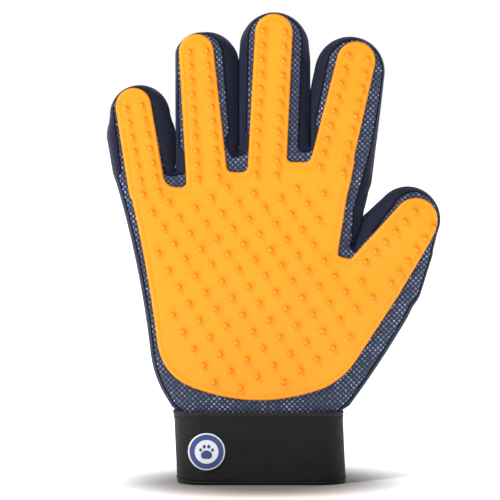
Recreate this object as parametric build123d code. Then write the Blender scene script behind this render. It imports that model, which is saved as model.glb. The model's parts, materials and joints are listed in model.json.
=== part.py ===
from build123d import *
from math import cos, hypot, radians, sin
import os

# Five-finger pet grooming glove: a moulded silicone pad with nubs on a mesh palm, a knitted back,
# gussets round the fingers and an elastic cuff with a hook-and-loop strap behind the wrist.
# Millimetres.  The glove stands on its cuff: +Z points to the fingertips, the palm faces -Y and
# the thumb points to +X.  The origin is the centre of the wrist opening, at the cuff's lower edge.
# Outlines are drawn in the XZ plane as (x, z) pairs and carried through the glove along Y.

# ---- depths, front to back ----------------------------------------------------------------------
FRONT_Y = -13.0            # outer face of the mesh palm
FINGER_BACK_Y = 8.0        # outer face of the back, behind the fingers
WRIST_BACK_Y = 14.5        # outer face of the back, at the wrist
WALL = 1.8                 # thickness of every fabric panel
EDGE_ROUND = 7.0           # roundness of the fabric where front and back turn into the sides
PAD_THICK = 1.8
PAD_FRONT_Y = FRONT_Y - PAD_THICK
CLEARANCE = 0.15           # half the gap at every flex line

# ---- nubs ---------------------------------------------------------------------------------------
NUB_BASE_R = 1.55
NUB_TOP_R = 1.1
NUB_TOP_ROUND = 0.9
NUB_HEIGHT = 2.3
NUB_SINK = 0.3             # how far a nub's foot reaches into the pad
NUB_EDGE_MARGIN = 5.7      # least distance from a palm nub to the pad's edge
NUB_SPACING = 6.6          # least distance from a palm nub to a finger nub

# The palm nubs form a slanting grid round PALM_NUB_START.  Rows lie closer above it than below.
PALM_NUB_START = (2.4, 102.1)
PALM_NUB_ALONG = (13.0, -2.65)
PALM_NUB_UP = (-5.25, 7.55)
PALM_NUB_DOWN = (5.0, -8.15)
PALM_NUB_REACH = 12
PALM_NUB_BARE = [(33.4, 121.7), (-40.6, 61.0)]     # places of the grid left without a nub

# ---- wrist --------------------------------------------------------------------------------------
CUFF_WIDTH = 83.0
CUFF_DEPTH = 32.0
CUFF_CORNER = 14.0
CUFF_HEIGHT = 35.5
BAND_THICK = 2.0
LINING_THICK = 0.8
BINDING_HEIGHT = 2.2
BINDING_PROUD = 0.5
SLIT_X = -4.0              # middle of the slit in the band, behind the wrist
SLIT_WIDTH = 7.0

BADGE_X = -26.0
BADGE_Z = 16.3
BADGE_R = 9.1
BADGE_THICK = 0.7

STRAP_LOW_Z = 5.0
STRAP_HIGH_Z = 29.0
STRAP_THICK = 2.0
STRAP_FREE_X = -24.0
STRAP_HINGE_X = 17.0
STRAP_SEWN_X = 26.0
LOOP_THICK = 0.9
HOOK_THICK = 0.7
HOOK_LENGTH = 16.0

FAR = 300.0                # beyond everything, for cutting shapes


class Finger:
    """A finger's fabric and pad are each outlined by circles (x, z, r), from its tip to its root."""

    def __init__(self, name, fabric, pad, first_row, last_row, rows, lean, sides, hinges):
        self.name = name
        self.fabric = fabric
        self.pad = pad
        self.first_row = first_row  # middle of the row of nubs by the tip, and half its width (x, z, w)
        self.last_row = last_row
        self.rows = rows
        self.lean = radians(lean)   # from +Z towards +X, square to the flex lines
        self.sides = sides          # how far the moving part reaches to each side of its hinge points
        self.hinges = hinges        # a point (x, z) on each of the two flex lines, root first

    def along(self):
        return sin(self.lean), cos(self.lean)

    def across(self):
        return cos(self.lean), -sin(self.lean)


FINGERS = [
    Finger("little", [(-58.6, 179.8, 14.7), (-58.4, 170.0, 16.2), (-56.5, 155.0, 15.6)],
           [(-61.5, 184.4, 8.7), (-53.4, 135.0, 9.0)],
           (-61.3, 183.7, 3.9), (-53.0, 142.1, 3.9), 7, 0.0, (-FAR, 15.3), [(-57.0, 152.5), (-57.0, 166.3)]),
    Finger("ring", [(-28.6, 207.6, 12.6), (-25.85, 205.3, 15.1), (-25.85, 150.0, 15.1)],
           [(-30.9, 210.8, 8.4), (-25.4, 145.0, 10.2)],
           (-30.2, 210.6, 4.25), (-25.3, 149.3, 4.9), 10, 0.0, (-15.2, 15.2), [(-25.8, 166.3), (-25.8, 186.8)]),
    Finger("middle", [(7.05, 213.4, 16.5), (7.1, 150.0, 17.1)], [(6.7, 219.8, 9.1), (3.2, 150.0, 9.4)],
           (6.7, 220.2, 5.2), (2.7, 151.0, 5.1), 11, 0.0, (-17.2, 17.2), [(7.0, 168.3), (7.0, 196.0)]),
    Finger("index", [(43.9, 201.1, 17.0), (39.8, 150.0, 15.6)], [(46.6, 206.2, 9.3), (33.1, 150.0, 10.2)],
           (47.3, 207.6, 5.0), (34.5, 153.4, 5.8), 9, 0.0, (-17.0, FAR), [(42.0, 170.3), (42.0, 190.7)]),
    Finger("thumb", [(70.3, 127.4, 17.4), (60.5, 99.5, 19.5)], [(75.4, 129.0, 10.6), (54.8, 100.4, 14.4)],
           (79.2, 129.9, 5.2), (57.6, 103.1, 7.9), 6, 36.87, (-8.0, FAR), [(46.4, 115.7), (54.7, 126.7)]),
]
THUMB = FINGERS[-1]
BETWEEN_FINGERS = [-41.3, -10.4, 24.6]     # x of the plane between each pair of neighbouring fingers
WEB_Z = [152.7, 162.4, 164.4]              # height of the web at each of those planes
FINGER_GAP = 0.7                           # between neighbouring fingers
THUMB_CROTCH = (46.1, 115.9)
THUMB_CROTCH_TOP = (50.3, 132.8)

# Slots between the pad's strips: x between which the corners lie, height of the bottom, corner radius.
PAD_SLOTS = [(-53.0, -28.0, 144.9, 4.4), (-22.0, 2.0, 152.2, 1.8), (5.0, 32.0, 157.1, 1.8)]
PAD_STEPS_X = (-50.0, -25.6, 3.3, 44.9)    # steps of the palm's upper edge, all under the pad's strips
THUMB_SLOT_LEFT = (38.3, 111.6)
THUMB_SLOT_RIGHT = (50.0, 110.4)
THUMB_SLOT_ROUND = 1.8
THUMB_SLOT_NEAR = (2.0, 1.4)               # how far beyond those points, in x and z, its corners may lie

# The stretch of pad below the thumb is a piece of its own, from the thumb's slot to the lower edge.
THUMB_BASE_LINE = [(41.35, 111.5), (47.1, 60.0)]

# The gussets round the palm meet here.
WEB_REGION_LOW_Z = 140.0   # lowest point of the gussets between the fingers
SIDE_GUSSETS_MEET_Z = 101.0
INDEX_GUSSET_MAX_X = 62.0


# ---- drawing helpers ----------------------------------------------------------------------------
def prism(sketch, front_y, back_y):
    """Carry an XZ outline through the glove from back_y to front_y."""
    return extrude(Plane.XZ.offset(-back_y) * sketch, amount=back_y - front_y)


def hull_of(circles, inset=0.0):
    edges = []
    for x, z, r in circles:
        edges += (Pos(x, z) * Circle(r - inset)).edges()
    return make_hull(edges)


def face_of(*curves):
    edges = []
    for curve in curves:
        edges += curve.edges()
    return make_face(edges)


def polygon(*points):
    return make_face(Polyline(*points, close=True).edges())


def block(low, high):
    size = [b - a for a, b in zip(low, high)]
    middle = [(a + b) / 2 for a, b in zip(low, high)]
    return Pos(*middle) * Box(*size)


def round_rims(solid, radius):
    """Round the edges of the front and back faces."""
    broad = [face for face in solid.faces() if abs(face.normal_at().Y) > 0.9]
    rims = [edge for face in broad for edge in face.edges()]
    return fillet(rims, radius)


def back_y_at(z):
    """Outer face of the palm's back, which slopes from the wrist up to the fingers."""
    part_way = (z - CUFF_HEIGHT) / (WEB_Z[-1] - CUFF_HEIGHT)
    return WRIST_BACK_Y + part_way * (FINGER_BACK_Y - WRIST_BACK_Y)


def between_front_and_back(front_inset, back_inset):
    """Everything between the front face and the sloping back, each moved inwards by its inset."""
    front = FRONT_Y + front_inset
    corners = [(front, 0), (back_y_at(0) - back_inset, 0), (back_y_at(FAR) - back_inset, FAR), (front, FAR)]
    return extrude(Plane.YZ * polygon(*corners), amount=FAR, both=True)


# ---- the shape of the hand ----------------------------------------------------------------------
def palm_outline():
    """Outline of the fabric palm up to the webs, run on downwards past the wrist."""
    below = CUFF_HEIGHT - 2 * EDGE_ROUND
    left_top = (-72.0, WEB_Z[0])
    left_low = (-53.5, 62.7)
    left_wrist = (-43.3, CUFF_HEIGHT)
    right_wrist = (41.3, CUFF_HEIGHT)
    right_top = (72.6, 81.3)
    index_side = (54.6, WEB_Z[2])
    thumb_root = THUMB.fabric[1][:2]
    return face_of(
        ThreePointArc(left_top, (-60.6, 108.0), left_low),
        ThreePointArc(left_low, (-50.4, 50.5), left_wrist),
        Polyline(left_wrist, (left_wrist[0], below), (right_wrist[0], below), right_wrist),
        ThreePointArc(right_wrist, (57.8, 57.4), right_top),
        Polyline(right_top, thumb_root, THUMB_CROTCH, THUMB_CROTCH_TOP, index_side,
                 (BETWEEN_FINGERS[2], WEB_Z[2]), (BETWEEN_FINGERS[1], WEB_Z[1]),
                 (BETWEEN_FINGERS[0], WEB_Z[0]), left_top),
    )


def finger_region(finger, start, end):
    """XZ outline of the stretch of a finger from start to end, measured from its root flex line."""
    (x, z), (ax, az), (cx, cz) = finger.hinges[0], finger.along(), finger.across()
    left, right = finger.sides
    corners = [(start, left), (start, right), (end, right), (end, left)]
    outline = polygon(*[(x + s * ax + t * cx, z + s * az + t * cz) for s, t in corners])
    if finger is THUMB:
        outline = outline - palm_side_of_crotch()
    return outline


def beyond(finger, start):
    """XZ half-plane on the tip's side of a line across the finger."""
    (x, z), (ax, az), (cx, cz) = finger.hinges[0], finger.along(), finger.across()
    corners = [(start, -FAR), (start, FAR), (2 * FAR, FAR), (2 * FAR, -FAR)]
    return polygon(*[(x + s * ax + t * cx, z + s * az + t * cz) for s, t in corners])


def palm_side_of_crotch():
    """What lies on the palm's side of the crotch of the thumb, with room for the thumb to pass."""
    (low_x, low_z), (top_x, top_z) = THUMB_CROTCH, THUMB_CROTCH_TOP
    rise = top_z - low_z
    run = top_x - low_x
    below = (low_x - run + FINGER_GAP, low_z - rise)
    above = (top_x + run + FINGER_GAP, top_z + rise)
    return polygon(below, above, (-FAR, above[1]), (-FAR, below[1]))


def segment_ends(finger):
    """Start and end of the root and tip segments, with the gaps at the flex lines left out."""
    (x0, z0), (x1, z1) = finger.hinges
    bend = hypot(x1 - x0, z1 - z0)
    return [("root", CLEARANCE, bend - CLEARANCE), ("tip", bend + CLEARANCE, FAR)]


def palm_block(inset):
    """The palm with the stumps of the fingers, moved in by the inset."""
    outline = palm_outline()
    if inset:
        outline = offset(outline, amount=-inset)
    space = between_front_and_back(inset, inset)
    body = round_rims(prism(outline, -FAR, FAR) & space, EDGE_ROUND - inset)
    for finger in FINGERS:
        stump = round_rims(prism(hull_of(finger.fabric, inset), -FAR, FAR) & space, EDGE_ROUND - inset)
        if not inset:
            stump -= prism(beyond(finger, -CLEARANCE), -FAR, FAR)
        body += stump
    if not inset:
        body -= prism(finger_region(FINGERS[0], -CLEARANCE, FAR), -FAR, FAR)
    return body


def finger_block(finger, inset):
    solid = prism(hull_of(finger.fabric, inset), FRONT_Y + inset, FINGER_BACK_Y - inset)
    return round_rims(solid, EDGE_ROUND - inset)


# ---- fabric -------------------------------------------------------------------------------------
def front_of(solid):
    return solid & block((-FAR, FRONT_Y, CUFF_HEIGHT), (FAR, FRONT_Y + WALL, FAR))


def palm_fabric():
    """Mesh palm, knitted back and the ring of gussets between them."""
    outer = palm_block(0.0)
    shell = (outer - palm_block(WALL)) & block((-FAR, -FAR, CUFF_HEIGHT), (FAR, FAR, FAR))
    behind_front = block((-FAR, FRONT_Y + WALL, 0), (FAR, FAR, FAR))
    middle = between_front_and_back(0.0, WALL)
    gussets = shell & behind_front & middle
    back = shell - middle
    return front_of(outer), back, gussets


def gusset_regions():
    """Which stretch of the ring round the palm is which gusset, as XZ outlines."""
    finger_x = [finger.hinges[0][0] for finger in FINGERS[:-1]]
    low = WEB_REGION_LOW_Z
    meet = SIDE_GUSSETS_MEET_Z
    side = INDEX_GUSSET_MAX_X
    little_x = finger_x[0]
    index_x = finger_x[-1]
    regions = {
        "outer_side_gusset": polygon((-FAR, 0), (0, 0), (0, low), (little_x, low), (little_x, FAR), (-FAR, FAR)),
        "index_side_gusset": polygon((index_x, meet), (side, meet), (side, FAR), (index_x, FAR)),
        "thumb_side_gusset": polygon((0, 0), (FAR, 0), (FAR, meet), (0, meet)),
    }
    names = ["web_little_ring", "web_ring_middle", "web_middle_index"]
    for name, left, right in zip(names, finger_x, finger_x[1:]):
        regions[name] = polygon((left, low), (right, low), (right, FAR), (left, FAR))
    return regions


def finger_fabric(finger, start, end):
    """Mesh front, knitted back and gusset of one stretch of a finger."""
    stretch = prism(finger_region(finger, start, end), -FAR, FAR)
    outer = finger_block(finger, 0.0) & stretch
    shell = outer - finger_block(finger, WALL)
    gusset = shell & block((-FAR, FRONT_Y + WALL, 0), (FAR, FINGER_BACK_Y - WALL, FAR))
    back = outer & block((-FAR, FINGER_BACK_Y - WALL, 0), (FAR, FINGER_BACK_Y, FAR))
    return front_of(outer), back, gusset


# ---- silicone pad -------------------------------------------------------------------------------
def pad_outline():
    left_top = (-63.8, 146.0)
    left_low = (-49.7, 67.5)
    left_corner = (-31.0, 46.7)
    right_corner = (31.6, 47.2)
    right_low = (48.1, 62.7)
    thumb_side = (67.0, 92.8)
    little_slot_z, ring_slot_z, middle_slot_z = [z for _, _, z, _ in PAD_SLOTS]
    step_1, step_2, step_3, step_4 = PAD_STEPS_X
    steps = [(step_4, middle_slot_z), (step_3, middle_slot_z), (step_3, ring_slot_z), (step_2, ring_slot_z),
             (step_2, little_slot_z), (step_1, little_slot_z)]
    outline = face_of(
        ThreePointArc(left_top, (-55.4, 105.5), left_low),
        ThreePointArc(left_low, (-43.9, 54.9), left_corner),
        ThreePointArc(left_corner, (0.0, 41.1), right_corner),
        ThreePointArc(right_corner, (41.7, 54.4), right_low),
        Polyline(right_low, thumb_side, THUMB.pad[1][:2], THUMB_SLOT_RIGHT, THUMB_SLOT_LEFT, *steps, left_top),
    )
    for finger in FINGERS:
        outline += hull_of(finger.pad)
    for left, right, z, round_r in PAD_SLOTS:
        corners = [v for v in outline.vertices() if left < v.X < right and abs(v.Y - z) < 0.01]
        outline = fillet(corners, round_r)
    (left_x, left_z), (right_x, right_z) = THUMB_SLOT_LEFT, THUMB_SLOT_RIGHT
    near_x, near_z = THUMB_SLOT_NEAR
    corners = [v for v in outline.vertices()
               if left_x - near_x < v.X < right_x and right_z - near_z < v.Y < left_z + near_z]
    return fillet(corners, THUMB_SLOT_ROUND)


def thumb_base_region():
    """XZ outline of the pad on the thumb's side of the slot and of the line below it."""
    (top_x, top_z), (low_x, low_z) = THUMB_BASE_LINE
    below = (2 * low_x - top_x, 2 * low_z - top_z)
    slot_x, slot_z = THUMB_CROTCH_TOP
    return polygon(below, (FAR, below[1]), (FAR, slot_z), (slot_x, slot_z), (top_x, top_z))


def nub():
    """One nub on the pad's face, standing on the origin and pointing to -Y."""
    height = NUB_HEIGHT + NUB_SINK
    peg = Pos(0, 0, height / 2 - NUB_SINK) * Cone(NUB_BASE_R, NUB_TOP_R, height)
    peg = fillet(peg.edges().sort_by(Axis.Z)[-1], NUB_TOP_ROUND)
    return Pos(0, PAD_FRONT_Y, 0) * Rot(90, 0, 0) * peg


def finger_nub_points(finger):
    (x0, z0, w0), (x1, z1, w1) = finger.first_row, finger.last_row
    length = hypot(x1 - x0, z1 - z0)
    across = ((z0 - z1) / length, (x1 - x0) / length)
    points = []
    for row in range(finger.rows):
        part_way = row / (finger.rows - 1)
        half = w0 + part_way * (w1 - w0)
        for side in (-half, half):
            x = x0 + part_way * (x1 - x0) + side * across[0]
            z = z0 + part_way * (z1 - z0) + side * across[1]
            points.append((x, z))
    return points


def palm_nub_points(outline, taken):
    """The slanting grid, where it is clear of the pad's edge and of the nubs already there."""
    field = offset(outline, amount=-NUB_EDGE_MARGIN)
    taken = taken + PALM_NUB_BARE
    points = []
    for i in range(-PALM_NUB_REACH, PALM_NUB_REACH + 1):
        for j in range(-PALM_NUB_REACH, PALM_NUB_REACH + 1):
            step = PALM_NUB_DOWN if j > 0 else PALM_NUB_UP
            x = PALM_NUB_START[0] + i * PALM_NUB_ALONG[0] + abs(j) * step[0]
            z = PALM_NUB_START[1] + i * PALM_NUB_ALONG[1] + abs(j) * step[1]
            inside = any(face.is_inside(Vector(x, z, 0)) for face in field.faces())
            if inside and all(hypot(x - a, z - b) > NUB_SPACING for a, b in taken):
                points.append((x, z))
    return points


def pad_piece(outline, points):
    """A stretch of pad with the nubs that stand on it."""
    plate = prism(outline, PAD_FRONT_Y, FRONT_Y)
    one = nub()
    faces = outline.faces()
    nubs = [Pos(x, 0, z) * one for x, z in points if any(f.is_inside(Vector(x, z, 0)) for f in faces)]
    return plate + nubs


# ---- wrist --------------------------------------------------------------------------------------
def wrist_ring(low_z, high_z, inset, thick):
    """A band round the wrist; its outside is the cuff's outside moved in by the inset."""
    def bar(gap):
        return RectangleRounded(CUFF_WIDTH - 2 * gap, CUFF_DEPTH - 2 * gap, CUFF_CORNER - gap)
    return Pos(0, 0, low_z) * extrude(bar(inset) - bar(inset + thick), amount=high_z - low_z)


def cuff_band():
    slit = block((SLIT_X - SLIT_WIDTH / 2, 0, 0), (SLIT_X + SLIT_WIDTH / 2, CUFF_DEPTH, CUFF_HEIGHT))
    return wrist_ring(0, CUFF_HEIGHT - BINDING_HEIGHT, 0, BAND_THICK) - slit


def badge():
    ring = wrist_ring(0, CUFF_HEIGHT, -BADGE_THICK, BADGE_THICK)
    return ring & prism(Pos(BADGE_X, BADGE_Z) * Circle(BADGE_R), -CUFF_DEPTH, 0)


def wrist_parts():
    band_y = CUFF_DEPTH / 2
    loop_y = band_y + LOOP_THICK
    hook_y = loop_y + HOOK_THICK
    strap_y = hook_y + STRAP_THICK
    low, high = STRAP_LOW_Z, STRAP_HIGH_Z
    return {
        "cuff_band": cuff_band(),
        "cuff_lining": wrist_ring(1.0, CUFF_HEIGHT - BINDING_HEIGHT, BAND_THICK, LINING_THICK),
        "wrist_binding": wrist_ring(CUFF_HEIGHT - BINDING_HEIGHT, CUFF_HEIGHT, -BINDING_PROUD, BAND_THICK),
        "badge": badge(),
        "loop_patch": block((STRAP_FREE_X, band_y, low + 1), (SLIT_X - SLIT_WIDTH / 2, loop_y, high - 1)),
        "strap_base": block((STRAP_HINGE_X + CLEARANCE, band_y, low), (STRAP_SEWN_X, strap_y, high)),
        "wrist_strap": block((STRAP_FREE_X, hook_y, low), (STRAP_HINGE_X - CLEARANCE, strap_y, high)),
        "hook_patch": block((STRAP_FREE_X, loop_y + CLEARANCE, low + 1),
                            (STRAP_FREE_X + HOOK_LENGTH, hook_y, high - 1)),
    }


# ---- the whole glove ----------------------------------------------------------------------------
def glove():
    parts = wrist_parts()
    front, back, ring = palm_fabric()
    parts["palm_mesh_panel"] = front
    parts["palm_back_panel"] = back
    for name, region in gusset_regions().items():
        parts[name] = ring & prism(region, -FAR, FAR)

    outline = pad_outline()
    points = []
    for finger in FINGERS:
        points += finger_nub_points(finger)
    points += palm_nub_points(outline, points)
    palm_pad = outline
    for finger in FINGERS:
        palm_pad -= finger_region(finger, -CLEARANCE, FAR)
        for stretch, start, end in segment_ends(finger):
            name = finger.name + "_" + stretch
            front, back, gusset = finger_fabric(finger, start, end)
            parts[name + "_mesh_panel"] = front
            parts[name + "_back_panel"] = back
            parts[name + "_gusset"] = gusset
            parts[name + "_pad"] = pad_piece(outline & finger_region(finger, start, end), points)
    parts["palm_pad"] = pad_piece(palm_pad - thumb_base_region(), points)
    parts["thumb_base_pad"] = pad_piece(palm_pad & thumb_base_region(), points)
    return parts


os.makedirs("parts", exist_ok=True)
for node, solid in glove().items():
    export_step(solid, f"parts/{node}.step")
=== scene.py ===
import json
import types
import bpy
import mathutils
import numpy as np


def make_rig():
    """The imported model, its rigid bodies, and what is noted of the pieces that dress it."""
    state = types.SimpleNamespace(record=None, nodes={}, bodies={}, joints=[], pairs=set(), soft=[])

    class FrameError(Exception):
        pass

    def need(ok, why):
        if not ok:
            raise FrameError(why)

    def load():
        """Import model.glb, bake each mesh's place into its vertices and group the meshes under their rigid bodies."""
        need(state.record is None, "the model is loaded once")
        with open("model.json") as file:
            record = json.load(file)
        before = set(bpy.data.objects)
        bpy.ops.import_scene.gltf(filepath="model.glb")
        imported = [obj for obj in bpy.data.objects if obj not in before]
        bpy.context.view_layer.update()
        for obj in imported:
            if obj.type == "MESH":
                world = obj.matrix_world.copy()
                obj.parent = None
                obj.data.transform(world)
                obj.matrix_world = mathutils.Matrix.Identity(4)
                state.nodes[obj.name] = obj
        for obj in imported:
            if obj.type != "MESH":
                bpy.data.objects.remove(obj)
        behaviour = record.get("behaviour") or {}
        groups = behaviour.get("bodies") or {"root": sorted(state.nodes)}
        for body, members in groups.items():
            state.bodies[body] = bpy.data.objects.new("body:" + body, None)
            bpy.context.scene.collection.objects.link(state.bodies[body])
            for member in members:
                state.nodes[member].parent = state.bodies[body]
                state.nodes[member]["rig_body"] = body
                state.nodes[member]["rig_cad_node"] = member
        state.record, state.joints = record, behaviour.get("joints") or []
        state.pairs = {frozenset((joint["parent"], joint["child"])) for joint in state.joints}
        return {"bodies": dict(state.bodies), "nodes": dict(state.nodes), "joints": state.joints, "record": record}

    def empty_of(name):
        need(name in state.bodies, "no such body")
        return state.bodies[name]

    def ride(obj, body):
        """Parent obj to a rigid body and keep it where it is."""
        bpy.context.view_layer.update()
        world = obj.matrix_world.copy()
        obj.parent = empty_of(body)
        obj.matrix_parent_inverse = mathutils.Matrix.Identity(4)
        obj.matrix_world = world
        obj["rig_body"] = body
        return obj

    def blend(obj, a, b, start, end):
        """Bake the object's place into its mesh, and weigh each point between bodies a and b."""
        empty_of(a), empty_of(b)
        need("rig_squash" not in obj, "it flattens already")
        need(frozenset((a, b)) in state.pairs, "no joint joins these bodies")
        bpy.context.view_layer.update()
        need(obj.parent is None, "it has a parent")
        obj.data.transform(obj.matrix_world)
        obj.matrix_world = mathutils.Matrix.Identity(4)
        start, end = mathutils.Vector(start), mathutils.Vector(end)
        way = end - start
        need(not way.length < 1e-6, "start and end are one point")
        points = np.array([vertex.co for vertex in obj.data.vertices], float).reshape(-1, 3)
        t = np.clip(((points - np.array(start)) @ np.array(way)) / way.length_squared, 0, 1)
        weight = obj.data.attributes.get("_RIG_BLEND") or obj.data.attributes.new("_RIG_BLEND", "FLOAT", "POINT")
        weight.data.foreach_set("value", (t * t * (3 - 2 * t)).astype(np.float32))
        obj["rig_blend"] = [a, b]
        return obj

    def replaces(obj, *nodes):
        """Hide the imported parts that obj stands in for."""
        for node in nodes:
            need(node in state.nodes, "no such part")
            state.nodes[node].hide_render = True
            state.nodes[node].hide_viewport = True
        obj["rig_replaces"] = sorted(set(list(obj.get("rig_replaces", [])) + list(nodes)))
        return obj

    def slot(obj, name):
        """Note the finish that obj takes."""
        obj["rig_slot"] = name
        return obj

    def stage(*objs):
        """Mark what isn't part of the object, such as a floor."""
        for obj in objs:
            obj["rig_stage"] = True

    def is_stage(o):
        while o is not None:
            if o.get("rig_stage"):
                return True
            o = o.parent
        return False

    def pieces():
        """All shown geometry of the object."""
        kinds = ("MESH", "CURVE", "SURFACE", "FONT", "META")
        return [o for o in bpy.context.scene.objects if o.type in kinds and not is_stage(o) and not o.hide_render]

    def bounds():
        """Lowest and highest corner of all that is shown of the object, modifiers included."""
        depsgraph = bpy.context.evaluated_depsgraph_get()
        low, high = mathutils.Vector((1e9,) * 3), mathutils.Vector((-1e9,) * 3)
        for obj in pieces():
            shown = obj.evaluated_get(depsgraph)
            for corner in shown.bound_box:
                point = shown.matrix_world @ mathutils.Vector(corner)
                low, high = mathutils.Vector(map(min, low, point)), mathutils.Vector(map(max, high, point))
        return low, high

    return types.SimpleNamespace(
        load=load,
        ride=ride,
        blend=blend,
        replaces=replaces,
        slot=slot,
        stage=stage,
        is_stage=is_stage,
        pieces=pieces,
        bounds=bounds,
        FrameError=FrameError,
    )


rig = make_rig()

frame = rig.load()

import bpy
import json
import math
import numpy as np
from mathutils import Vector, kdtree, noise
from mathutils.geometry import delaunay_2d_cdt

# Five-finger pet grooming glove: silicone pad with nubs, mesh palm, knitted gussets and back, elastic
# cuff with a strap behind it.  Shapes are drawn in millimetres as (x, z) outlines seen from the palm's
# side, and become meshes in metres.  A field is the distance to an outline, positive inside it.
MM = 0.001
CAD_BOX = [list(corner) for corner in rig.bounds()]

# ---- sizes, as in the CAD model ----
FRONT_Y = -13.0            # outer face of the mesh palm
PAD_FRONT_Y = -14.8
SIDE_Y = -2.5              # depth of the glove's outermost line
FINGER_BACK_Y = 8.0
WRIST_BACK_Y = 14.5
PALM_BACK_Y = 14.2         # the knit is drawn no farther back than this
WRIST_Z = 35.5
FINGERS_Z = 164.4          # where the palm ends and the fingers are free
FABRIC_LOW_Z = 32.5        # the fabric ends out of sight inside the cuff
FABRIC_THICK = 0.9
GAP = 0.4                  # half the gap drawn between two fingers
CLOSE = 0.42               # how far each side of that gap is then moved to close it
FAR = 300.0

CUFF_WIDTH = 83.0
CUFF_DEPTH = 32.0
CUFF_CORNER = 14.0
BINDING_Z = 33.3
SLIT = (-7.5, -0.5)
BADGE = (-26.0, 16.3)
BADGE_R = 9.1

# Nubs, with radius and height from the foot up; painted shade darkens the silicone round each.
NUB_PROFILE = [(1.8, 0.0), (1.52, 0.2), (1.32, 0.9), (1.14, 1.6), (0.8, 2.12), (0.42, 2.3)]
NUB_TOP = 2.36
NUB_SIDES = 14
NUB_EDGE_MARGIN = 5.7
NUB_SPACING = 6.52
NUB_GRID_START = (2.4, 102.1)
NUB_GRID_ALONG = (13.0, -2.65)
NUB_GRID_UP = (-5.25, 7.55)
NUB_GRID_DOWN = (5.0, -8.15)
NUB_GRID_BARE = [(33.4, 121.7), (-40.6, 61.0), (56.9, 103.9)]

NUB_PAINTED_SHADE = [(0.0, 0.0), (0.7, 0.05), (1.1, 0.2), (1.5, 0.3), (1.9, 0.12), (2.4, 0.0)]

PAD_EDGE = 1.15            # roundness of the pad's rim
GROOVE_AT = 2.4            # stitched groove, from the pad's edge
BACK_SEAM_AT = 3.0
PAD_FOLD = 1.8             # half the length over which each bends at a joint
FABRIC_FOLD = 4.8

# Rows of points that follow an outline, each as (distance inside it, spacing of the points).
FABRIC_ROWS = [(0.0, 1.3), (0.14, 1.3), (0.5, 1.3), (1.1, 1.5), (2.0, 1.7), (BACK_SEAM_AT, 1.7),
               (4.3, 2.0), (6.2, 2.2), (8.6, 2.4)]
PAD_ROWS = [(0.0, 1.0), (0.06, 1.0), (0.24, 1.0), (0.58, 1.1), (PAD_EDGE, 1.2), (1.95, 1.4),
            (GROOVE_AT, 1.4), (2.85, 1.4)]
HEM_POINTS = 46            # along the fabric's lower end

PIPING_R = 0.44
PAD_THREAD_R = 0.27
BLACK_THREAD_R = 0.22
HEM_THREAD_R = 0.2


class Finger:
    """fabric, pad and seam are circles (x, z, r) from the tip down; rows are two (x, z, half width)."""

    def __init__(self, name, fabric, pad, seam, rows, count, lean, sides, hinges, fold):
        self.name, self.fabric, self.pad, self.seam = name, fabric, pad, seam
        self.rows, self.count, self.sides = rows, count, sides
        self.along = np.array([math.sin(math.radians(lean)), math.cos(math.radians(lean))])
        self.across = np.array([self.along[1], -self.along[0]])
        self.hinges = np.array(hinges)
        self.bend = float(np.hypot(*(self.hinges[1] - self.hinges[0])))
        self.fold = fold       # where the fabric folds at the root, from the root flex line

    def reach(self, x, z):
        """Distance along the finger from its root flex line."""
        return (x - self.hinges[0][0]) * self.along[0] + (z - self.hinges[0][1]) * self.along[1]

    def folds(self, zone):
        """(start, end) of the two folds along the finger, for the pad or the fabric."""
        if zone == "pad":
            return (-PAD_FOLD, PAD_FOLD), (self.bend - PAD_FOLD, self.bend + PAD_FOLD)
        return self.fold, (self.bend - FABRIC_FOLD, self.bend + FABRIC_FOLD)

    def owns(self, x, z):
        """Whether the place is this finger's, if it lies above the finger's root."""
        if self.name == "thumb":
            return (past_crease(x, z) > 0.14 * np.maximum(z - CREASE[1][1], 0)) & (z < 150)
        return (x > self.sides[0]) & (x < self.sides[1])


CREASE = [(46.1, 115.9), (50.7, 130.8)]    # where the thumb lies against the index side


def past_crease(x, z):
    """How far x lies on the thumb's side of the crease."""
    (x0, z0), (x1, z1) = CREASE
    return x - x0 - (z - z0) * (x1 - x0) / (z1 - z0)


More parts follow.
